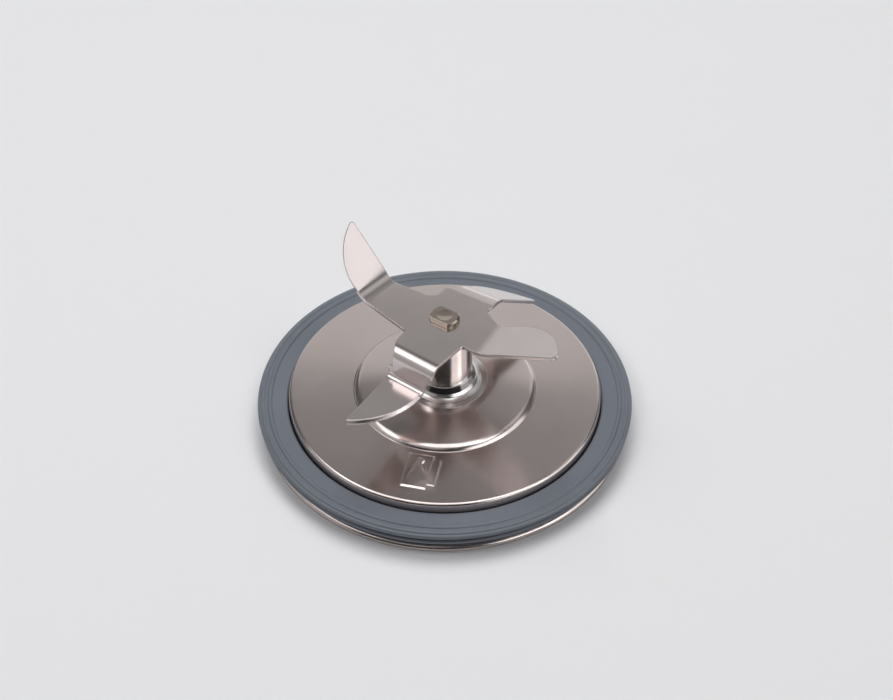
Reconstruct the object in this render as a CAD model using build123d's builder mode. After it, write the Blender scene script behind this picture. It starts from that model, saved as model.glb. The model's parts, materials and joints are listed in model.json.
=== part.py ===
"""Blade assembly of a jug blender: pressed base plate with seal, bearing housing, spindle and bent blade."""
import os
from math import atan2, cos, radians, sin, tan
from build123d import *

# Sizes are in millimetres. The spindle turns about Z and the foot of the flange stands on Z = 0.

# Pressed plate
sheet = 1.0
flange_r = 51.0
flange_top = 1.5
lip_round = 1.4
skirt_r = 43.7
skirt_round = 1.3
rim_z = 10.2
rim_round = 1.1
step_r = 25.5
step_foot_z = 11.4
step_foot_round = 0.3
step_lean = 0.92
step_round = 3.0
dome_edge_z = 12.58
dome_top = 14.4
dome_flat_r = 13.6
dome_round = 18.0

# Key pad raised in the plate, with a tab beside it and a ramp on top
key_angle = 257
key_r = 32.75
key_len = 11.2
key_width = 6.8
key_rise = 0.3
key_sink = 0.1
key_slope = 55
tab_len = 8.6
tab_width = 2.2
tab_rise = 0.15
tab_shift = -0.2
ramp_front = (4.4, -3.0)
ramp_back = (-4.8, 0.9)
ramp_side = (2.6, 3.0)
ramp_peak = (-3.6, 1.0)
ramp_rise = 0.55
ramp_tip = 0.15

# Seal ring
seal_gap = 0.3
seal_edge = 0.4
seal_top = 7.7
seal_out_r = 52.5
seal_foot_r = 49.4
seal_neck_r = 50.2
seal_neck_z = 2.8
seal_waist_r = 51.6
seal_waist_z = 5.9
rib_size = 0.75
rib_1_r = 49.05
rib_2_r = 50.95
rib_1_lift = 0.4
rib_2_lift = 0.25
rib_3_lift = -0.2
bead_r = 51.5
bead_z = 4.7
bead_size = 0.7

# Spindle
shaft_r = 4.0
flat_half = 2.95
flat_angle = 237
spindle_top = 38.5
spindle_chamfer = 0.35
dish_r = 2.1
dish_depth = 0.18
tail_r = 3.0
tail_flat_half = 2.4
tail_end = 3.0

# Blade: sheet, bends and the corners of the flat middle
blade_t = 1.0
blade_top = 37.0
key_fit = 0.03
notch_round = 1.0
notch_back_round = 3.0
notch_left = (-10.6, -4.44)
notch_front = (4.65, -10.51)
notch_right = (11.4, 3.36)
notch_back = (-2.71, 8.57)

# Left rear arm, bent up
rear_left_cw = (-13.64, 14.70)
rear_left_ccw = (-21.14, 6.60)
rear_left_bend = 57
rear_left_bend_in = 4.0
rear_left_len = 18.05
rear_left_tip = 2.9
rear_left_bow = 3.9

# Left front arm, stepped down to a lower level
front_left_cw = (-13.16, -8.74)
front_left_ccw = (-1.31, -17.54)
front_left_bend = 83
front_left_bend_in = 2.8
front_left_foot_in = 1.5
front_left_drop = 3.90
front_left_trim = ((-13.04, -8.83), (-13.76, -12.4), (-14.66, -13.61), (-17.23, -11.7), (-14.37, -7.85))
front_left_trim_depth = 5.5
front_left_taper_cw = 1.0
front_left_taper_ccw = 2.2
front_left_len = 19.74
front_left_tip = 1.1
front_left_bow = 3.1

# Right arm, bent up a little
right_cw = (8.21, -12.82)
right_ccw = (14.32, -1.96)
right_bend = 28
right_bend_in = 10.0
right_len = 23.55
right_tip = -2.8
right_bow = 4.6

# Right rear arm, bent down
rear_right_cw = (13.33, 5.18)
rear_right_ccw = (0.38, 12.53)
rear_right_bend = -38.5
rear_right_bend_in = 8.0
rear_right_trim = ((0.45, 12.6), (1.72, 12.79), (2.82, 13.02), (4.2, 13.42), (6.96, 15.23), (3.0, 17.8), (-1.0, 14.6))
rear_right_panel = 10.5
rear_right_len = 21.9
rear_right_tip = -1.8
rear_right_bow = 4.5

tip_round = 0.8
blunt_tip_round = 1.4
ground_edge = 0.7

# Collar under the blade
collar_r = 7.6
collar_wall = 0.75
collar_web = 1.6
collar_flare = 1.0
flare_len = 1.75
flare_round = 1.2
collar_gap = 0.15

# Bearing housing and its fastening
tube_r = 6.1
seat_r = 5.2
hub_crown_r = 8.2
hub_crown_round = 0.2
hub_neck_r = 9.0
hub_neck_z = 15.25
hub_neck_round = 1.3
hub_skirt_r = 10.2
hub_skirt_z = 14.74
hub_skirt_round = 5.0
hub_flange_r = 12.0
hub_flange_t = 1.35
hub_edge_t = 0.06
gasket_t = 0.5
gasket_r = 8.7
hole_gap = 0.2
thread_gap = 0.05
washer_t = 0.8
washer_r = 9.4
lock_washer_r = 8.9
lock_washer_slit = 0.8
nut_t = 3.5
nut_across = 17.0
tube_below_nut = 1.2
tube_to_web = 1.0

# Bearings, seal and washers round the spindle
run_fit = 0.03
seat_fit = 0.01
bush_len = 8.0
bush_inset = 0.2
shaft_seal_len = 2.6
lip_fit = 0.05
lip_len = 0.8
wick_gap = 0.3
thrust_t = 0.8
thrust_r = 6.0
shim_t = 0.4
face_gap = 0.08
washer_gap = 0.1

# Coupling
insert_across = 10.0
insert_bottom = 0.8
insert_fit = 0.02
coupling_bottom = 0.6
coupling_t = 4.6
coupling_r = 13.0
coupling_notch_r = 2.6
coupling_teeth = 6
coupling_edge = 0.5
screw_r = 1.5
screw_head_r = 2.7
screw_head_t = 1.2
screw_len = 6.5
screw_web = 1.0
screw_slot = 0.7
screw_slot_depth = 0.6

# Heights and radii that follow from the sizes above
dome_under = dome_top - sheet
plate_tilt = atan2(step_foot_z - rim_z, skirt_r - step_r)
hub_seat = dome_top + gasket_t
hub_flange_top = hub_seat + hub_flange_t
collar_foot = hub_flange_top + collar_gap
collar_bore = collar_r - collar_wall
flare_r = collar_r + collar_flare
blade_under = blade_top - blade_t
web_under = blade_under - collar_web
tube_top = web_under - tube_to_web
plain_washer_under = dome_under - washer_t
lock_washer_under = plain_washer_under - washer_t
nut_under = lock_washer_under - nut_t
tube_bottom = nut_under - tube_below_nut
shaft_seal_top = tube_top - bush_inset
shaft_seal_under = shaft_seal_top - shaft_seal_len
upper_bush_top = shaft_seal_under - bush_inset
upper_bush_under = upper_bush_top - bush_len
lower_bush_under = tube_bottom + bush_inset
lower_bush_top = lower_bush_under + bush_len
thrust_low_top = tube_bottom - face_gap
shim_top = thrust_low_top - thrust_t
insert_top = shim_top - shim_t
screw_seat = tail_end - screw_web
seal_bore = skirt_r + seal_gap
rib_3_r = seal_out_r - rib_size
seat_body_r = seat_r - seat_fit


def turned_ring(inner, outer, low, high):
    """Adds a plain ring to the open part."""
    with BuildSketch(Plane.XY.offset(low)) as ring:
        Circle(outer)
        Circle(inner, mode=Mode.SUBTRACT)
    extrude(ring.sketch, amount=high - low)


def flat_sided(radius, half, angle):
    """Draws a round with two parallel flats in the open sketch."""
    Circle(radius)
    Rectangle(2 * half, 2 * radius, rotation=angle, mode=Mode.INTERSECT)


def bend_sheet(corner, along, out, up, width, angle, inside):
    """Adds a round bend to the open part and gives the corner and directions after it."""
    turn = radians(angle)
    new_out = out * cos(turn) + up * sin(turn)
    new_up = up * cos(turn) - out * sin(turn)
    if angle > 0:
        centre = corner + up * (blade_t + inside)
        new_corner = centre - new_up * (blade_t + inside)
        hinge = Axis(centre, along * -1)
    else:
        centre = corner - up * inside
        new_corner = centre + new_up * inside
        hinge = Axis(centre, along)
    with BuildSketch(Plane(corner, x_dir=along, z_dir=out)) as section:
        with Locations((width / 2, blade_t / 2)):
            Rectangle(width, blade_t)
    revolve(section.sketch, axis=hinge, revolution_arc=abs(angle))
    return new_corner, new_out, new_up


def cutting_panel(corner, out, up, width, length, tip, bow, tip_r, upper_grind):
    """Adds the outer panel of an arm: straight back, rounded tip and bowed edge, ground on one face."""
    ground_face = blade_t if upper_grind else 0
    ground_to = blade_t - 2 * ground_edge if upper_grind else 2 * ground_edge
    chord = Vector(length, tip) - Vector(0, width)
    side = Vector(-chord.Y, chord.X).normalized()
    middle = (Vector(length, tip) + Vector(0, width)) / 2
    crest = middle + side * bow
    bow_r = (chord.length**2 / 4 + bow**2) / (2 * bow)
    hub = middle - side * (bow_r - bow)
    level = Plane(corner, x_dir=out, z_dir=up)
    with BuildSketch(level) as outline:
        with BuildLine():
            Line((0, width), (0, 0))
            Line((0, 0), (length, tip))
            ThreePointArc((length, tip), (crest.X, crest.Y), (0, width))
        make_face()
        fillet(outline.vertices().sort_by(Axis.X)[-1], tip_r)
    hub_point = level.from_local_coords(hub)
    side_dir = level.from_local_coords(hub + side) - hub_point
    with BuildSketch(Plane(hub_point, x_dir=side_dir, z_dir=side_dir.cross(up))) as grind:
        with BuildLine():
            Polyline(
                (bow_r - ground_edge, ground_face),
                (bow_r + ground_edge, ground_face),
                (bow_r + ground_edge, ground_to),
                close=True,
            )
        make_face()
    panel = extrude(outline.sketch, amount=blade_t, mode=Mode.PRIVATE)
    add(panel - revolve(grind.sketch, axis=Axis(hub_point, up), mode=Mode.PRIVATE))


def arm_start(cw_end, ccw_end):
    """Gives the corner, directions and width of a fold line of the flat middle."""
    first = Vector(cw_end[0], cw_end[1], blade_under)
    second = Vector(ccw_end[0], ccw_end[1], blade_under)
    along = (second - first).normalized()
    return first, along, along.cross(Vector(0, 0, 1)), (second - first).length


os.makedirs("parts", exist_ok=True)

# Top plate: sheet turned from one line, with the raised key pad and its ramp on the sloping face
key_dir = Vector(cos(radians(key_angle)), sin(radians(key_angle)), 0)
key_foot = key_dir * key_r + Vector(0, 0, rim_z + (skirt_r - key_r) * tan(plate_tilt))
key_out = key_dir * cos(plate_tilt) - Vector(0, 0, sin(plate_tilt))
key_up = key_dir * sin(plate_tilt) + Vector(0, 0, cos(plate_tilt))
key_base = Plane(key_foot - key_up * key_sink, x_dir=key_out, z_dir=key_up)
key_face = Plane(key_foot + key_up * key_rise, x_dir=key_out, z_dir=key_up)
key_tab_y = (key_width + tab_width) / 2
with BuildPart() as top_plate:
    with BuildSketch(Plane.XZ):
        with BuildLine():
            FilletPolyline(
                (tube_r + hole_gap, dome_top),
                (dome_flat_r, dome_top),
                (step_r - step_lean, dome_edge_z),
                (step_r, step_foot_z),
                (skirt_r, rim_z),
                (skirt_r, flange_top),
                (flange_r, flange_top),
                (flange_r, 0),
                radius=(dome_round, step_round, step_foot_round, rim_round, skirt_round, lip_round),
            )
            offset(amount=sheet, side=Side.RIGHT)
        make_face()
    revolve(axis=Axis.Z)
    with BuildSketch(key_base):
        with Locations((tab_shift, key_tab_y - key_rise)):
            Rectangle(tab_len, tab_width + 2 * key_rise)
    extrude(amount=tab_rise + key_sink, taper=key_slope)
    with BuildSketch(key_base):
        Rectangle(key_len, key_width)
    extrude(amount=key_rise + key_sink, taper=key_slope)
    with BuildSketch(key_face):
        with BuildLine():
            Polyline(ramp_front, ramp_side, ramp_back, close=True)
        make_face()
    with BuildSketch(key_face.offset(ramp_rise)):
        with Locations(ramp_peak):
            Triangle(a=ramp_tip, b=ramp_tip, c=ramp_tip)
    loft()
top_plate.part.label = "top_plate"
export_step(top_plate.part, "parts/top_plate.step")

# Seal ring: moulded section with three ribs, a bead below them and an undercut foot
with BuildPart() as seal_ring:
    with BuildSketch(Plane.XZ):
        with BuildLine():
            Polyline(
                (seal_bore, flange_top + skirt_round),
                (seal_bore + skirt_round, flange_top),
                (seal_foot_r, flange_top),
                (seal_neck_r, seal_neck_z),
                (bead_r, bead_z),
                (seal_waist_r, seal_waist_z),
                (rib_3_r, seal_top + rib_3_lift - rib_size),
                (rib_2_r, seal_top),
                (seal_bore + seal_edge, seal_top),
                (seal_bore, seal_top - seal_edge),
                close=True,
            )
        make_face()
        with Locations((rib_1_r, seal_top + rib_1_lift - rib_size)):
            Circle(rib_size)
        with Locations((rib_2_r, seal_top + rib_2_lift - rib_size)):
            Circle(rib_size)
        with Locations((rib_3_r, seal_top + rib_3_lift - rib_size)):
            Circle(rib_size)
        with Locations((bead_r, bead_z)):
            Circle(bead_size)
    revolve(axis=Axis.Z)
seal_ring.part.label = "seal_ring"
export_step(seal_ring.part, "parts/seal_ring.step")

# Bearing housing: tube with a flared flange that sits on the dome over the gasket
with BuildPart() as bearing_housing:
    with BuildSketch(Plane.XZ):
        with BuildLine():
            FilletPolyline(
                (seat_r, hub_flange_top),
                (hub_crown_r, hub_flange_top),
                (hub_neck_r, hub_neck_z),
                (hub_skirt_r, hub_skirt_z),
                (hub_flange_r, dome_top + hub_edge_t),
                radius=(hub_crown_round, hub_neck_round, hub_skirt_round),
            )
            Polyline(
                (hub_flange_r, dome_top + hub_edge_t),
                (hub_flange_r, dome_top),
                (gasket_r + hole_gap, dome_top),
                (gasket_r + hole_gap, hub_seat),
                (seat_r, hub_seat),
                (seat_r, hub_flange_top),
            )
        make_face()
    revolve(axis=Axis.Z)
    turned_ring(seat_r, tube_r, tube_bottom, tube_top)
bearing_housing.part.label = "bearing_housing"
export_step(bearing_housing.part, "parts/bearing_housing.step")

# Housing gasket between flange and dome
with BuildPart() as housing_gasket:
    turned_ring(tube_r + hole_gap, gasket_r, dome_top, hub_seat)
housing_gasket.part.label = "housing_gasket"
export_step(housing_gasket.part, "parts/housing_gasket.step")

# Plain washer under the dome
with BuildPart() as plain_washer:
    turned_ring(tube_r + hole_gap, washer_r, plain_washer_under, dome_under)
plain_washer.part.label = "plain_washer"
export_step(plain_washer.part, "parts/plain_washer.step")

# Split lock washer
with BuildPart() as lock_washer:
    turned_ring(tube_r + hole_gap, lock_washer_r, lock_washer_under, plain_washer_under)
    with BuildSketch(Plane.XY.offset(lock_washer_under)):
        with Locations((lock_washer_r, 0)):
            Rectangle(lock_washer_r, lock_washer_slit)
    extrude(amount=washer_t, mode=Mode.SUBTRACT)
lock_washer.part.label = "lock_washer"
export_step(lock_washer.part, "parts/lock_washer.step")

# Housing nut
with BuildPart() as housing_nut:
    with BuildSketch(Plane.XY.offset(nut_under)):
        RegularPolygon(nut_across / 2, 6, major_radius=False)
        Circle(tube_r + thread_gap, mode=Mode.SUBTRACT)
    extrude(amount=nut_t)
housing_nut.part.label = "housing_nut"
export_step(housing_nut.part, "parts/housing_nut.step")

# Upper and lower bush
with BuildPart() as upper_bush:
    turned_ring(shaft_r + run_fit, seat_body_r, upper_bush_under, upper_bush_top)
upper_bush.part.label = "upper_bush"
export_step(upper_bush.part, "parts/upper_bush.step")

with BuildPart() as lower_bush:
    turned_ring(shaft_r + run_fit, seat_body_r, lower_bush_under, lower_bush_top)
lower_bush.part.label = "lower_bush"
export_step(lower_bush.part, "parts/lower_bush.step")

# Felt oil wick between the bushes
with BuildPart() as oil_wick:
    turned_ring(shaft_r + wick_gap, seat_body_r, lower_bush_top, upper_bush_under)
oil_wick.part.label = "oil_wick"
export_step(oil_wick.part, "parts/oil_wick.step")

# Shaft seal with a lip at its upper end
with BuildPart() as shaft_seal:
    turned_ring(shaft_r + wick_gap, seat_body_r, shaft_seal_under, shaft_seal_top)
    turned_ring(shaft_r + lip_fit, shaft_r + 2 * wick_gap, shaft_seal_top - lip_len, shaft_seal_top)
shaft_seal.part.label = "shaft_seal"
export_step(shaft_seal.part, "parts/shaft_seal.step")

# Spindle: journal, flat-sided ends, dished top and tapped lower end
with BuildPart() as spindle:
    with BuildSketch(Plane.XY.offset(insert_top)):
        Circle(shaft_r)
    extrude(amount=web_under - insert_top)
    with BuildSketch(Plane.XY.offset(web_under)):
        flat_sided(shaft_r, flat_half, flat_angle)
    extrude(amount=spindle_top - web_under)
    with BuildSketch(Plane.XY.offset(tail_end)):
        flat_sided(tail_r, tail_flat_half, flat_angle)
    extrude(amount=insert_top - tail_end)
    chamfer(spindle.faces().sort_by(Axis.Z)[-1].edges(), spindle_chamfer)
    with BuildSketch(Plane.XZ):
        with BuildLine():
            Line((0, spindle_top - dish_depth), (0, spindle_top))
            Line((0, spindle_top), (dish_r, spindle_top))
            TangentArc((0, spindle_top - dish_depth), (dish_r, spindle_top), tangent=(1, 0))
        make_face()
    revolve(axis=Axis.Z, mode=Mode.SUBTRACT)
    with BuildSketch(Plane.XY.offset(tail_end)):
        Circle(screw_r + insert_fit)
    extrude(amount=screw_len, mode=Mode.SUBTRACT)
spindle.part.label = "spindle"
export_step(spindle.part, "parts/spindle.step")

# Blade collar: drawn cup with a flared foot, keyed to the spindle
with BuildPart() as blade_collar:
    with BuildSketch(Plane.XZ):
        with BuildLine():
            FilletPolyline(
                (collar_r, blade_under),
                (collar_r, collar_foot + flare_len),
                (flare_r, collar_foot),
                radius=flare_round,
            )
            Polyline(
                (flare_r, collar_foot),
                (collar_bore, collar_foot),
                (collar_bore, web_under),
                (0, web_under),
                (0, blade_under),
                (collar_r, blade_under),
            )
        make_face()
    revolve(axis=Axis.Z)
    with BuildSketch(Plane.XY.offset(web_under)):
        flat_sided(shaft_r + key_fit, flat_half + key_fit, flat_angle)
    extrude(amount=collar_web, mode=Mode.SUBTRACT)
blade_collar.part.label = "blade_collar"
export_step(blade_collar.part, "parts/blade_collar.step")

# Blade: flat middle, four bent arms and the keyed hole
with BuildPart() as blade:
    with BuildSketch(Plane.XY.offset(blade_under)) as middle:
        with BuildLine():
            Polyline(
                right_cw,
                right_ccw,
                notch_right,
                rear_right_cw,
                rear_right_ccw,
                notch_back,
                rear_left_cw,
                rear_left_ccw,
                notch_left,
                front_left_cw,
                front_left_ccw,
                notch_front,
                close=True,
            )
        make_face()
        for corner in (notch_left, notch_front, notch_right):
            fillet(middle.vertices().sort_by_distance(corner)[0], notch_round)
        fillet(middle.vertices().sort_by_distance(notch_back)[0], notch_back_round)
    extrude(amount=blade_t)

    start, along, out, width = arm_start(rear_left_cw, rear_left_ccw)
    start, out, up = bend_sheet(start, along, out, Vector(0, 0, 1), width, rear_left_bend, rear_left_bend_in)
    cutting_panel(start, out, up, width, rear_left_len, rear_left_tip, rear_left_bow, tip_round, False)

    start, along, out, width = arm_start(right_cw, right_ccw)
    start, out, up = bend_sheet(start, along, out, Vector(0, 0, 1), width, right_bend, right_bend_in)
    cutting_panel(start, out, up, width, right_len, right_tip, right_bow, blunt_tip_round, False)

    start, along, out, width = arm_start(rear_right_cw, rear_right_ccw)
    start, out, up = bend_sheet(start, along, out, Vector(0, 0, 1), width, rear_right_bend, rear_right_bend_in)
    with BuildSketch(Plane.XY.offset(blade_top)):
        with BuildLine():
            Polyline(*rear_right_trim, close=True)
        make_face()
    extrude(amount=-rear_right_bend_in, mode=Mode.SUBTRACT)
    cutting_panel(
        start, out, up, rear_right_panel, rear_right_len, rear_right_tip, rear_right_bow, tip_round, False
    )

    start, along, out, width = arm_start(front_left_cw, front_left_ccw)
    start, out, up = bend_sheet(start, along, out, Vector(0, 0, 1), width, -front_left_bend, front_left_bend_in)
    with BuildSketch(Plane(start, x_dir=out, z_dir=up)):
        with BuildLine():
            Polyline(
                (0, 0),
                (front_left_drop, front_left_taper_cw),
                (front_left_drop, width - front_left_taper_ccw),
                (0, width),
                close=True,
            )
        make_face()
    extrude(amount=blade_t)
    with BuildSketch(Plane.XY.offset(blade_top)):
        with BuildLine():
            Polyline(*front_left_trim, close=True)
        make_face()
    extrude(amount=-front_left_trim_depth, mode=Mode.SUBTRACT)
    start = start + out * front_left_drop + along * front_left_taper_cw
    width = width - front_left_taper_cw - front_left_taper_ccw
    start, out, up = bend_sheet(start, along, out, up, width, front_left_bend, front_left_foot_in)
    cutting_panel(start, out, up, width, front_left_len, front_left_tip, front_left_bow, tip_round, True)

    with BuildSketch(Plane.XY.offset(blade_under)):
        flat_sided(shaft_r + key_fit, flat_half + key_fit, flat_angle)
    extrude(amount=blade_t, mode=Mode.SUBTRACT)
blade.part.label = "blade"
export_step(blade.part, "parts/blade.step")

# Upper thrust washer under the collar's web
with BuildPart() as upper_thrust_washer:
    turned_ring(shaft_r + washer_gap, thrust_r, web_under - thrust_t, web_under)
upper_thrust_washer.part.label = "upper_thrust_washer"
export_step(upper_thrust_washer.part, "parts/upper_thrust_washer.step")

# Lower thrust washer and steel shim under the housing
with BuildPart() as lower_thrust_washer:
    turned_ring(shaft_r + washer_gap, thrust_r, shim_top, thrust_low_top)
lower_thrust_washer.part.label = "lower_thrust_washer"
export_step(lower_thrust_washer.part, "parts/lower_thrust_washer.step")

with BuildPart() as shim_washer:
    turned_ring(shaft_r + washer_gap, thrust_r, insert_top, shim_top)
shim_washer.part.label = "shim_washer"
export_step(shim_washer.part, "parts/shim_washer.step")

# Coupling insert: steel hexagon with a keyed hole and a recess for the screw head
with BuildPart() as coupling_insert:
    with BuildSketch(Plane.XY.offset(insert_bottom)):
        RegularPolygon(insert_across / 2, 6, major_radius=False)
    extrude(amount=insert_top - insert_bottom)
    with BuildSketch(Plane.XY.offset(tail_end)):
        flat_sided(tail_r + key_fit, tail_flat_half + key_fit, flat_angle)
    extrude(amount=insert_top - tail_end, mode=Mode.SUBTRACT)
    with BuildSketch(Plane.XY.offset(insert_bottom)):
        Circle(screw_r + hole_gap)
    extrude(amount=insert_top - insert_bottom, mode=Mode.SUBTRACT)
    with BuildSketch(Plane.XY.offset(insert_bottom)):
        Circle(screw_head_r + hole_gap)
    extrude(amount=screw_seat - insert_bottom, mode=Mode.SUBTRACT)
coupling_insert.part.label = "coupling_insert"
export_step(coupling_insert.part, "parts/coupling_insert.step")

# Drive coupling: moulded star round the insert
with BuildPart() as drive_coupling:
    with BuildSketch(Plane.XY.offset(coupling_bottom)):
        Circle(coupling_r)
        with PolarLocations(coupling_r, coupling_teeth):
            Circle(coupling_notch_r, mode=Mode.SUBTRACT)
    extrude(amount=coupling_t)
    chamfer(drive_coupling.faces().sort_by(Axis.Z)[0].edges(), coupling_edge)
    with BuildSketch(Plane.XY.offset(coupling_bottom)):
        RegularPolygon(insert_across / 2 + insert_fit, 6, major_radius=False)
    extrude(amount=coupling_t, mode=Mode.SUBTRACT)
drive_coupling.part.label = "drive_coupling"
export_step(drive_coupling.part, "parts/drive_coupling.step")

# Coupling screw: slotted head and plain thread body
with BuildPart() as coupling_screw:
    with BuildSketch(Plane.XY.offset(screw_seat - screw_head_t)):
        Circle(screw_head_r)
    extrude(amount=screw_head_t)
    with BuildSketch(Plane.XY.offset(screw_seat)):
        Circle(screw_r)
    extrude(amount=screw_len)
    with BuildSketch(Plane.XY.offset(screw_seat - screw_head_t)):
        Rectangle(2 * screw_head_r, screw_slot)
    extrude(amount=screw_slot_depth, mode=Mode.SUBTRACT)
coupling_screw.part.label = "coupling_screw"
export_step(coupling_screw.part, "parts/coupling_screw.step")
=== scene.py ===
"""Looks of a jug blender's blade assembly: satin steel, a grey silicone seal and a pale floor."""
import json
import math

import bpy
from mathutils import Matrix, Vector


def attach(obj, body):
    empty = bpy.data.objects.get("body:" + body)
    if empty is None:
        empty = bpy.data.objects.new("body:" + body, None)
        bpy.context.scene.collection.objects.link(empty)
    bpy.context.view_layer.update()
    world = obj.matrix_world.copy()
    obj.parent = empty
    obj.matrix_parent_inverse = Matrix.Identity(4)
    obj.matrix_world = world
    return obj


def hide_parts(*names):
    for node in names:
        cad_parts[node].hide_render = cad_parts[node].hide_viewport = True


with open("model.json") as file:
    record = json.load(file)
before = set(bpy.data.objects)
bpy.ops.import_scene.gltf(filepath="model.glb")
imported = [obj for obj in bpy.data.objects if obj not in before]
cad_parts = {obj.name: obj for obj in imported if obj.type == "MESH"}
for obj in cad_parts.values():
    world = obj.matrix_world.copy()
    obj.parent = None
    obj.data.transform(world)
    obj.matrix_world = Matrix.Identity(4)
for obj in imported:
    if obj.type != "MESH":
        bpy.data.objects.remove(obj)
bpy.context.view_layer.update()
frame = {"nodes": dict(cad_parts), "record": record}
nodes = frame["nodes"]

MM = 0.001

# Camera
VIEW_HEIGHT = math.radians(44.28)
VIEW_DISTANCE = 600 * MM
FOCAL_PIXELS = 2131.3
IMAGE_SIZE = (893, 700)
SENSOR = 36.0
AIM = Vector((0, 0, 5.9 * MM))
AIM_PIXEL = (444.8, 399.2)

# Stage
FLOOR_SIZE = 6.0
FLOOR_COLOUR = (0.83, 0.83, 0.845)
WORLD_SHADE = 0.12
WORLD_FRONT = 0.03
WORLD_FADE = (-0.5, 0.2)

# Softboxes: name, azimuth from the back to the right, height angle, distance, width, height and radiance
LIGHT_AIM = Vector((0, 0, 20 * MM))
LIGHTS = (
    ("light_top", 0, 85, 1.2, 0.60, 0.40, 1.5),
    ("light_top_front", 180, 74.6, 1.2, 0.60, 0.56, 1.5),
    ("light_top_right", 116.6, 64, 1.2, 0.44, 0.60, 2.8),
    ("light_top_left", -116.6, 64, 1.2, 0.44, 0.60, 1.6),
    ("light_left_back", -82, 56, 1.2, 0.66, 0.42, 1.8),
    ("light_left_high", -108, 48, 1.2, 0.60, 0.40, 1.0),
    ("light_left", -105, 20, 0.6, 0.50, 0.43, 0.41),
    ("light_front_left", -155, 50, 1.2, 0.72, 0.42, 0.4),
    ("light_right_back", 62, 50, 1.2, 0.56, 0.42, 0.55),
    ("light_right", 132, 28, 0.6, 0.42, 0.20, 2.2),
    ("light_right_low", 103, 17, 0.6, 0.46, 0.42, 1.15),
    ("light_back_high", 7, 51, 0.6, 0.50, 0.20, 0.21),
    ("light_back", 6, 20.8, 0.6, 0.95, 0.46, 0.57),
    ("light_back_low", 22, 4, 0.58, 0.40, 0.14, 0.5),
    ("light_behind", 0, 64, 2.0, 1.33, 1.0, 4.6),
)

# The lamp behind lights matt surfaces only, for the shadow in front, and these light glossy surfaces only
FOR_MATT_ONLY = "light_behind"
FOR_GLOSS_ONLY = (
    "light_top_front", "light_left", "light_right", "light_right_low",
    "light_back_high", "light_back", "light_back_low",
)


def arc(centre, radius, first, last, steps):
    """Points along an arc of a section; angles are in degrees."""
    turns = [math.radians(first + (last - first) * i / steps) for i in range(steps + 1)]
    return [(centre[0] + radius * math.cos(t), centre[1] + radius * math.sin(t)) for t in turns]


def rounded(points, radii):
    """A polyline with its inner corners rounded by the given radii."""
    line = [points[0]]
    for before, corner, after, radius in zip(points, points[1:], points[2:], radii):
        corner, a, b = Vector(corner), Vector(before), Vector(after)
        into, out_of = (corner - a).normalized(), (b - corner).normalized()
        turn = math.atan2(into.x * out_of.y - into.y * out_of.x, into.dot(out_of))
        reach = radius * math.tan(abs(turn) / 2)
        start = corner - into * reach
        side = Vector((-into.y, into.x)) * math.copysign(1, turn)
        centre = start + side * radius
        steps = max(4, math.ceil(abs(turn) / math.radians(5)))
        first = math.degrees(math.atan2(-side.y, -side.x))
        line += arc(centre, radius, first, first + math.degrees(turn), steps)
    return line + [points[-1]]


def sheet_section(line, thickness):
    """A closed section: the line, and the same line set off to its right by the sheet's thickness."""
    under = []
    for i, point in enumerate(line):
        a, b = line[max(i - 1, 0)], line[min(i + 1, len(line) - 1)]
        run = Vector((b[0] - a[0], b[1] - a[1])).normalized()
        under.append((point[0] + run.y * thickness, point[1] - run.x * thickness))
    return [*line, *reversed(under)]


# Plate's upper line in millimetres: hole, dome, step, sloping face, rim, skirt, flange and lip
FACE_INNER = (25.5, 11.4)
FACE_OUTER = (43.7, 10.2)
PLATE_LINE = rounded(
    [
        (6.3, 14.4), (13.6, 14.4), (24.58, 12.58), FACE_INNER, FACE_OUTER,
        (43.7, 1.5), (51.0, 1.5), (51.0, 0.0),
    ],
    (18.0, 3.0, 0.3, 1.1, 1.3, 1.4),
)
SHEET = 1.0
PLATE_STEPS = 360

# Key pressed in the plate, in millimetres from its middle: outward, then to the right, then up.
# The pad has half its length and width; the tab half its length and its outer edge
KEY_TURN = math.radians(257)
KEY_AT = 32.75
KEY_PAD = (5.6, 3.4, 0.24)
KEY_TAB = (4.3, 5.6, 0.15)
KEY_TAB_SHIFT = -0.2
KEY_PEAK = (-3.6, 1.4, 0.50)
KEY_RAMP = ((4.4, -3.0), (2.6, 3.0), (-4.8, -0.6))
KEY_SOFT = 0.34
KEY_STEP = 0.08
KEY_SPAN = 6.8
KEY_LIFT = 0.006
KEY_ROUNDS = 6

# Seal ring's section in millimetres: foot, undercut, bead, three ribs and the flat inner band
SEAL_SECTION = [
    (44.0, 2.8), (45.3, 1.5), (49.4, 1.5), (50.2, 2.8),
    *arc((51.5, 4.7), 0.7, -124.4, 85.2, 16),
    (51.6, 5.9),
    *arc((51.75, 6.75), 0.75, -100, 98.4, 16),
    *arc((50.95, 7.2), 0.75, 22.9, 138.2, 12),
    *arc((49.05, 7.35), 0.75, 27.8, 152.2, 12),
    (44.4, 7.7), (44.0, 7.3),
]
SEAL_STEPS = 288

# Collar's and bearing housing's sections in millimetres
COLLAR_SECTION = [
    (4.03, 34.4), (6.85, 34.4), (6.85, 16.4),
    *rounded([(8.6, 16.4), (7.6, 18.15), (7.6, 36.0)], (1.2,)),
    (4.03, 36.0),
]
HOUSING_SECTION = [
    (5.2, 7.1), (6.1, 7.1), (6.1, 14.9), (8.9, 14.9), (8.9, 14.4), (12.0, 14.4),
    *rounded([(12.0, 14.46), (10.2, 14.74), (9.0, 15.25), (8.2, 16.25), (6.1, 16.25)], (5.0, 1.3, 0.2)),
    (6.1, 33.4), (5.2, 33.4),
]
ROUND_STEPS = 192
SHARP_ANGLE = math.radians(30)

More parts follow.
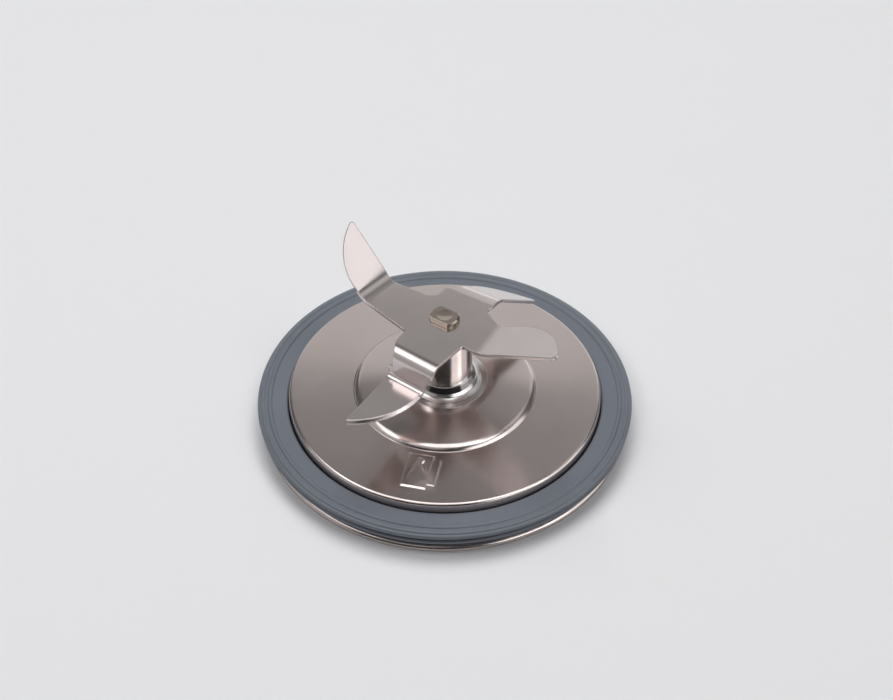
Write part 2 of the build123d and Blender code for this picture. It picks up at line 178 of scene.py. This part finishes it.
# Fold of the left rear arm: its end at the rear edge, the way along it and the way up the arm
FOLD_AT = (-16.10 * MM, 16.98 * MM, 38.82 * MM)
FOLD_ALONG = (-0.679, -0.734, 0)
FOLD_UP = (-0.3997, 0.3698, 0.8387)
FOLD_LENGTH = 11.0 * MM
FOLD_REACH = 9.5 * MM
FOLD_REACH_FRONT = 1.2 * MM
FOLD_BEND = 4.0 * MM
FOLD_TURN = 0.28

# Finishes: scales of noise per metre, painted shade on the blade's upper edges, and painted shade at the
# collar's foot
BRUSHING = (400, 9000, 9000)
CLOUDS = 70
TURNING = 4200
RUBBER_SKIN = 2600
RUBBER_DUST = 60
PAPER = 40
EDGE_TURN = (0.75, 0.98)
# Painted shade: a dark colour on the blade's edges up high, and the heights where it starts
EDGE_SHADE_COLOUR = (0.09, 0.09, 0.095)
EDGE_SHADE_HEIGHTS = (38.2 * MM, 39.6 * MM)
# Painted shade: a dark band at the collar's foot, with its colour, heights and fades
SHADE_BAND_COLOUR = (0.26, 0.24, 0.235)
SHADE_BAND_HEIGHTS = (16.36 * MM, 18.25 * MM)
SHADE_BAND_FADES = (0.3 * MM, 0.6 * MM)


class Finish:
    """A procedural material, built node by node around one Principled shader."""

    def __init__(self, name, colour, roughness, metallic=0.0):
        self.material = bpy.data.materials.new(name)
        self.material.use_nodes = True
        self.material.diffuse_color = (*colour, 1)
        self.tree = self.material.node_tree
        self.shader = self.tree.nodes["Principled BSDF"]
        self.set("Base Color", (*colour, 1))
        self.set("Roughness", roughness)
        self.set("Metallic", metallic)
        self.place = self.node("ShaderNodeTexCoord").outputs["Object"]

    def set(self, socket, value):
        self.shader.inputs[socket].default_value = value

    def node(self, kind, **settings):
        made = self.tree.nodes.new(kind)
        for key, value in settings.items():
            setattr(made, key, value)
        return made

    def feed(self, source, target):
        """Sets a socket from another socket or from a plain value."""
        if isinstance(source, bpy.types.NodeSocket):
            self.tree.links.new(source, target)
        else:
            target.default_value = source

    def stretched(self, scale, turn=0.0):
        """Object coordinates times a scale per axis, turned about Z first."""
        mapping = self.node("ShaderNodeMapping")
        mapping.inputs["Rotation"].default_value = (0, 0, turn)
        mapping.inputs["Scale"].default_value = scale
        self.feed(self.place, mapping.inputs["Vector"])
        return mapping.outputs["Vector"]

    def noise(self, vector, scale=1.0, detail=3.0, roughness=0.5):
        made = self.node("ShaderNodeTexNoise")
        made.inputs["Scale"].default_value = scale
        made.inputs["Detail"].default_value = detail
        made.inputs["Roughness"].default_value = roughness
        self.feed(vector, made.inputs["Vector"])
        return made.outputs["Fac"]

    def spread(self, value, low, high, from_low=0.3, from_high=0.7):
        """Takes the middle of a noise's range to a range of its own."""
        made = self.node("ShaderNodeMapRange")
        self.feed(value, made.inputs["Value"])
        ends = {"From Min": from_low, "From Max": from_high, "To Min": low, "To Max": high}
        for key, number in ends.items():
            made.inputs[key].default_value = number
        return made.outputs["Result"]

    def math(self, operation, a, b=0.0):
        made = self.node("ShaderNodeMath", operation=operation)
        self.feed(a, made.inputs[0])
        self.feed(b, made.inputs[1])
        return made.outputs[0]

    def mix(self, amount, first, second):
        """Mixes two colours, each a plain colour or a socket."""
        made = self.node("ShaderNodeMix", data_type="RGBA")
        self.feed(amount, made.inputs[0])
        self.feed(first if isinstance(first, bpy.types.NodeSocket) else (*first, 1), made.inputs[6])
        self.feed(second if isinstance(second, bpy.types.NodeSocket) else (*second, 1), made.inputs[7])
        return made.outputs[2]

    def edges(self, radius):
        """The surface's normal with its edges rounded by a small radius."""
        made = self.node("ShaderNodeBevel", samples=4)
        made.inputs["Radius"].default_value = radius
        return made.outputs["Normal"]

    def edge_mask(self, normal, low, high):
        """1 on edges above two heights, between which it starts, where the normal leaves the face's own."""
        face = self.node("ShaderNodeNewGeometry").outputs["True Normal"]
        turned_by = self.vector_math("DOT_PRODUCT", normal, face)
        parts = self.node("ShaderNodeSeparateXYZ")
        self.feed(self.place, parts.inputs[0])
        raised = self.spread(parts.outputs["Z"], 0, 1, low, high)
        return self.math("MULTIPLY", raised, self.spread(turned_by.outputs["Value"], 1, 0, *EDGE_TURN))

    def vector_math(self, operation, a, b):
        made = self.node("ShaderNodeVectorMath", operation=operation)
        self.feed(a, made.inputs[0])
        self.feed(b, made.inputs[1])
        return made

    def eased_fold(self, normal):
        """Leans the normal of the left rear arm back towards its fold, most at the rear edge."""
        from_end = self.vector_math("SUBTRACT", self.place, FOLD_AT).outputs["Vector"]
        along = self.vector_math("DOT_PRODUCT", from_end, FOLD_ALONG).outputs["Value"]
        up = self.vector_math("DOT_PRODUCT", from_end, FOLD_UP).outputs["Value"]
        reach = self.spread(along, FOLD_REACH, FOLD_REACH_FRONT, 0, FOLD_LENGTH)
        left = self.math("SUBTRACT", 1.0, self.math("DIVIDE", self.math("MAXIMUM", up, 0.0), reach))
        near = self.math("POWER", self.math("MAXIMUM", left, 0.0), 2.0)
        share = self.math("MULTIPLY", near, self.spread(up, 0, FOLD_TURN, -FOLD_BEND, 0))
        lean = self.node(
            "ShaderNodeVectorTransform", vector_type="VECTOR", convert_from="OBJECT", convert_to="WORLD"
        )
        lean.inputs["Vector"].default_value = FOLD_UP
        scaled = self.node("ShaderNodeVectorMath", operation="SCALE")
        self.feed(lean.outputs["Vector"], scaled.inputs[0])
        self.feed(share, scaled.inputs["Scale"])
        whole = self.vector_math("ADD", normal, scaled.outputs["Vector"]).outputs["Vector"]
        return self.vector_math("NORMALIZE", whole, (0, 0, 0)).outputs["Vector"]

    def bump(self, height, distance, strength=1.0, normal=None):
        made = self.node("ShaderNodeBump")
        made.inputs["Distance"].default_value = distance
        made.inputs["Strength"].default_value = strength
        self.feed(height, made.inputs["Height"])
        if normal is not None:
            self.feed(normal, made.inputs["Normal"])
        return made.outputs["Normal"]

    def out(self, socket, source):
        self.feed(source, self.shader.inputs[socket])


def steel(name, colour, roughness, grain, turn=0.0, edge=0.12 * MM, uneven=0.05, edge_shade=None):
    """Steel brushed along one direction, with uneven gloss, rounded edges and painted shade on its edges up
    high.
    """
    finish = Finish(name, colour, roughness, metallic=1.0)
    lines = finish.noise(finish.stretched(BRUSHING, turn), detail=4, roughness=0.7)
    clouds = finish.noise(finish.stretched((CLOUDS,) * 3), detail=2)
    gloss = finish.math("ADD", finish.spread(lines, roughness - uneven, roughness + uneven),
                        finish.spread(clouds, -uneven / 2, uneven / 2))
    finish.out("Roughness", gloss)
    tint = finish.spread(clouds, 0.0, 1.0)
    shade = finish.mix(tint, [c * 0.97 for c in colour], [min(1, c * 1.03) for c in colour])
    rounding = finish.edges(edge)
    # Painted shade: the blade's edges up high are darkened in the base colour
    if edge_shade:
        shade = finish.mix(finish.edge_mask(rounding, *edge_shade), shade, EDGE_SHADE_COLOUR)
        rounding = finish.eased_fold(rounding)
    finish.out("Base Color", shade)
    finish.out("Normal", finish.bump(lines, grain, normal=rounding))
    return finish.material


def turned(name, colour, roughness, grain, edge=0.12 * MM, shade_band=None):
    """Steel turned on a lathe: fine rings round the axis, and a band of painted shade between two heights."""
    finish = Finish(name, colour, roughness, metallic=1.0)
    parts = finish.node("ShaderNodeSeparateXYZ")
    finish.feed(finish.place, parts.inputs[0])
    square = finish.math("ADD", finish.math("MULTIPLY", parts.outputs[0], parts.outputs[0]),
                         finish.math("MULTIPLY", parts.outputs[1], parts.outputs[1]))
    along = finish.node("ShaderNodeCombineXYZ")
    finish.feed(finish.math("SQRT", square), along.inputs[0])
    finish.feed(parts.outputs[2], along.inputs[1])
    lines = finish.noise(along.outputs[0], scale=TURNING, detail=2)
    finish.out("Roughness", finish.spread(lines, roughness * 0.7, roughness * 1.3))
    # Painted shade: the base colour is darkened between two heights
    if shade_band:
        low = finish.spread(parts.outputs[2], 0, 1, shade_band[0], shade_band[0] + SHADE_BAND_FADES[0])
        high = finish.spread(parts.outputs[2], 1, 0, shade_band[1] - SHADE_BAND_FADES[1], shade_band[1])
        finish.out("Base Color", finish.mix(finish.math("MULTIPLY", low, high), colour, SHADE_BAND_COLOUR))
    finish.out("Normal", finish.bump(lines, grain, normal=finish.edges(edge)))
    return finish.material


def rubber(name, colour, roughness, grain):
    """Moulded rubber: a fine matt skin and a little dust."""
    finish = Finish(name, colour, roughness)
    skin = finish.noise(finish.stretched((RUBBER_SKIN,) * 3), detail=3, roughness=0.6)
    clouds = finish.noise(finish.stretched((RUBBER_DUST,) * 3), detail=4)
    finish.set("Specular IOR Level", 0.6)
    finish.out("Roughness", finish.spread(clouds, roughness - 0.06, roughness + 0.06))
    finish.out("Base Color", finish.mix(finish.spread(clouds, 0, 1), [c * 0.95 for c in colour],
                                        [c * 1.06 for c in colour]))
    finish.out("Normal", finish.bump(skin, grain))
    return finish.material


def plain(name, colour, roughness, scale, grain, metallic=0.0):
    """A plain material with a fine uneven surface."""
    finish = Finish(name, colour, roughness, metallic)
    skin = finish.noise(finish.stretched((scale,) * 3), detail=4, roughness=0.6)
    finish.out("Roughness", finish.spread(skin, roughness - 0.08, roughness + 0.08))
    finish.out("Base Color", finish.mix(finish.spread(skin, 0, 1), [c * 0.85 for c in colour],
                                        [min(1, c * 1.12) for c in colour]))
    finish.out("Normal", finish.bump(skin, grain))
    return finish.material


SLOTS = {
    "satin_steel": steel(
        "satin_steel", (0.628, 0.556, 0.535), 0.21, 0.0006 * MM,
        turn=math.radians(20), uneven=0.02, edge=0.25 * MM,
    ),
    # Painted shade on the blade's upper edges
    "blade_steel": steel(
        "blade_steel", (0.655, 0.592, 0.583), 0.21, 0.0006 * MM,
        turn=math.radians(57), uneven=0.02, edge=0.40 * MM, edge_shade=EDGE_SHADE_HEIGHTS,
    ),
    # Painted shade at the collar's foot
    "polished_steel": turned("polished_steel", (0.72, 0.69, 0.68), 0.15, 0.001 * MM, shade_band=SHADE_BAND_HEIGHTS),
    "spindle_steel": turned("spindle_steel", (0.48, 0.41, 0.35), 0.17, 0.002 * MM),
    "turned_steel": turned("turned_steel", (0.68, 0.66, 0.65), 0.24, 0.002 * MM),
    "zinc_steel": plain("zinc_steel", (0.58, 0.59, 0.60), 0.35, 900, 0.004 * MM, metallic=1.0),
    "grey_silicone": rubber("grey_silicone", (0.146, 0.163, 0.193), 0.42, 0.01 * MM),
    "dark_rubber": rubber("dark_rubber", (0.02, 0.02, 0.02), 0.5, 0.01 * MM),
    "bronze": plain("bronze", (0.50, 0.34, 0.17), 0.4, 2400, 0.01 * MM, metallic=1.0),
    "felt": plain("felt", (0.66, 0.60, 0.50), 0.9, 3000, 0.06 * MM),
    "white_nylon": plain("white_nylon", (0.80, 0.79, 0.74), 0.45, 1200, 0.005 * MM),
    "black_moulding": plain("black_moulding", (0.025, 0.025, 0.027), 0.45, 1500, 0.02 * MM),
}
SLOT_OF = {part["node"]: part["material_slot"] for part in frame["record"]["subparts"]}
for name, slot in SLOT_OF.items():
    nodes[name].data.materials.clear()
    nodes[name].data.materials.append(SLOTS[slot])


def mesh_piece(name, verts, faces, material, sharp=None):
    """A smooth mesh in the scene, sharp where its faces meet at more than a given angle."""
    mesh = bpy.data.meshes.new(name)
    mesh.from_pydata(verts, [], faces)
    mesh.polygons.foreach_set("use_smooth", [True] * len(faces))
    if sharp:
        mesh.set_sharp_from_angle(angle=sharp)
    mesh.materials.append(material)
    piece = bpy.data.objects.new(name, mesh)
    bpy.context.scene.collection.objects.link(piece)
    return piece


def lathe(name, section, steps, material):
    """A closed section in millimetres turned about Z; a clockwise one is reversed so its faces look outward."""
    if sum(a[0] * b[1] - b[0] * a[1] for a, b in zip(section, [*section[1:], section[0]])) < 0:
        section = section[::-1]
    verts = []
    for i in range(steps):
        turn = 2 * math.pi * i / steps
        verts += [(r * MM * math.cos(turn), r * MM * math.sin(turn), z * MM) for r, z in section]
    count = len(section)
    faces = []
    for i in range(steps):
        for j in range(count):
            here, ahead_of = i * count, (i + 1) % steps * count
            after = (j + 1) % count
            faces.append((here + j, ahead_of + j, ahead_of + after, here + after))
    return mesh_piece(name, verts, faces, material, SHARP_ANGLE)


def step_up(distance, soft):
    """Goes smoothly from 0 outside an edge to 1 inside it."""
    share = min(1.0, max(0.0, distance / (2 * soft) + 0.5))
    return share * share * (3 - 2 * share)


def weights(point, a, b, c):
    """Barycentric weights of a point in a triangle."""
    whole = (b[0] - a[0]) * (c[1] - a[1]) - (c[0] - a[0]) * (b[1] - a[1])
    first = ((b[0] - point[0]) * (c[1] - point[1]) - (c[0] - point[0]) * (b[1] - point[1])) / whole
    second = ((c[0] - point[0]) * (a[1] - point[1]) - (a[0] - point[0]) * (c[1] - point[1])) / whole
    return first, second, 1 - first - second


def key_height(out, across):
    """Height of the pressed key over the plate's face."""
    pad = KEY_PAD[2] * step_up(min(KEY_PAD[0] - abs(out), KEY_PAD[1] - abs(across)), KEY_SOFT)
    tab_gap = min(KEY_TAB[0] - abs(out - KEY_TAB_SHIFT), KEY_TAB[1] - across, across)
    tab = KEY_TAB[2] * step_up(tab_gap, KEY_SOFT)
    ramp = 0.0
    for i in range(3):
        a, b = KEY_RAMP[i], KEY_RAMP[(i + 1) % 3]
        share = weights((out, across), KEY_PEAK[:2], a, b)
        if min(share) >= 0:
            ramp = KEY_PEAK[2] * share[0]
    return max(pad, tab) + ramp


def soften(field, rounds):
    """Averages each inner value of a grid with its neighbours, a number of times."""
    for _ in range(rounds):
        field = [
            [
                row[j] if i in (0, len(field) - 1) or j in (0, len(row) - 1)
                else (4 * row[j] + row[j - 1] + row[j + 1] + field[i - 1][j] + field[i + 1][j]) / 8
                for j in range(len(row))
            ]
            for i, row in enumerate(field)
        ]
    return field


def key_patch(name, material):
    """A fine grid on the plate's sloping face that carries the pressed key."""
    places = [-KEY_SPAN + KEY_STEP * i for i in range(round(2 * KEY_SPAN / KEY_STEP) + 1)]
    field = soften([[key_height(u, v) for v in places] for u in places], KEY_ROUNDS)
    (low_r, low_z), (high_r, high_z) = FACE_OUTER, FACE_INNER
    slope = (high_z - low_z) / (low_r - high_r)
    verts = []
    for i, u in enumerate(places):
        for j, v in enumerate(places):
            x, y = KEY_AT + u, v
            r = math.hypot(x, y)
            inset = min(u + KEY_SPAN, KEY_SPAN - u, v + KEY_SPAN, KEY_SPAN - v)
            z = low_z + (low_r - r) * slope + field[i][j] + KEY_LIFT * min(1, 2 * inset - 1)
            px = x * math.cos(KEY_TURN) - y * math.sin(KEY_TURN)
            py = x * math.sin(KEY_TURN) + y * math.cos(KEY_TURN)
            verts.append((px * MM, py * MM, z * MM))
    wide = len(places)
    faces = []
    for i in range(wide - 1):
        for j in range(wide - 1):
            here = i * wide + j
            faces.append((here, here + wide, here + wide + 1, here + 1))
    return mesh_piece(name, verts, faces, material)


def stand_in(piece, node, body):
    """Lets a piece take the place of a CAD node: the piece goes on the node's body and the node is hidden."""
    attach(piece, body)
    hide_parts(node)


# Plate, seal ring, housing and collar
for name, section, steps, node, body in (
    ("top_plate_pressed", sheet_section(PLATE_LINE, SHEET), PLATE_STEPS, "top_plate", "base"),
    ("seal_ring_moulded", SEAL_SECTION, SEAL_STEPS, "seal_ring", "base"),
    ("bearing_housing_turned", HOUSING_SECTION, ROUND_STEPS, "bearing_housing", "base"),
    ("blade_collar_drawn", COLLAR_SECTION, ROUND_STEPS, "blade_collar", "rotor"),
):
    stand_in(lathe(name, section, steps, SLOTS[SLOT_OF[node]]), node, body)
stand_in(key_patch("key_pressed", SLOTS["satin_steel"]), "top_plate", "base")

# Floor
bpy.ops.mesh.primitive_plane_add(size=FLOOR_SIZE)
floor = bpy.context.object
floor.name = "floor"
paper = Finish("floor_paper", FLOOR_COLOUR, 0.9)
paper.out("Roughness", paper.spread(paper.noise(paper.stretched((PAPER,) * 3)), 0.85, 0.95))
floor.data.materials.append(paper.material)


def softbox(name, azimuth, height_angle, distance, width, height, radiance):
    """A rectangular soft light that faces the object from a given side."""
    turn, lift = math.radians(azimuth), math.radians(height_angle)
    side = Vector((math.sin(turn) * math.cos(lift), math.cos(turn) * math.cos(lift), math.sin(lift)))
    data = bpy.data.lights.new(name, "AREA")
    data.shape = "RECTANGLE"
    data.size, data.size_y = width, height
    data.energy = radiance * math.pi * width * height
    lamp = bpy.data.objects.new(name, data)
    bpy.context.scene.collection.objects.link(lamp)
    lamp.location = LIGHT_AIM + side * distance
    lamp.rotation_euler = (-side).to_track_quat("-Z", "Y").to_euler()
    lamp.visible_camera = False
    lamp.visible_glossy = name != FOR_MATT_ONLY
    lamp.visible_diffuse = name not in FOR_GLOSS_ONLY


# Light
for box in LIGHTS:
    softbox(*box)
world = bpy.data.worlds.new("studio")
bpy.context.scene.world = world
world.use_nodes = True
air = world.node_tree
look = air.nodes.new("ShaderNodeTexCoord")
parts = air.nodes.new("ShaderNodeSeparateXYZ")
front = air.nodes.new("ShaderNodeMapRange")
front.inputs["From Min"].default_value, front.inputs["From Max"].default_value = WORLD_FADE
front.inputs["To Min"].default_value = WORLD_FRONT
front.inputs["To Max"].default_value = WORLD_SHADE
air.links.new(look.outputs["Generated"], parts.inputs[0])
air.links.new(parts.outputs["Y"], front.inputs["Value"])
air.links.new(front.outputs["Result"], air.nodes["Background"].inputs["Strength"])
air.nodes["Background"].inputs["Color"].default_value = (1, 1, 1, 1)

# Camera
ahead = Vector((0, math.cos(VIEW_HEIGHT), -math.sin(VIEW_HEIGHT)))
right = Vector((1, 0, 0))
above = right.cross(ahead)
off_right = (AIM_PIXEL[0] - IMAGE_SIZE[0] / 2) / FOCAL_PIXELS
off_up = -(AIM_PIXEL[1] - IMAGE_SIZE[1] / 2) / FOCAL_PIXELS
camera = bpy.data.objects.new("camera", bpy.data.cameras.new("camera"))
bpy.context.scene.collection.objects.link(camera)
camera.location = AIM - VIEW_DISTANCE * (ahead + right * off_right + above * off_up)
camera.rotation_euler = (math.pi / 2 - VIEW_HEIGHT, 0, 0)
camera.data.sensor_width = SENSOR
camera.data.lens = FOCAL_PIXELS / IMAGE_SIZE[0] * SENSOR
bpy.context.scene.camera = camera

bpy.context.scene.view_settings.view_transform = "Standard"
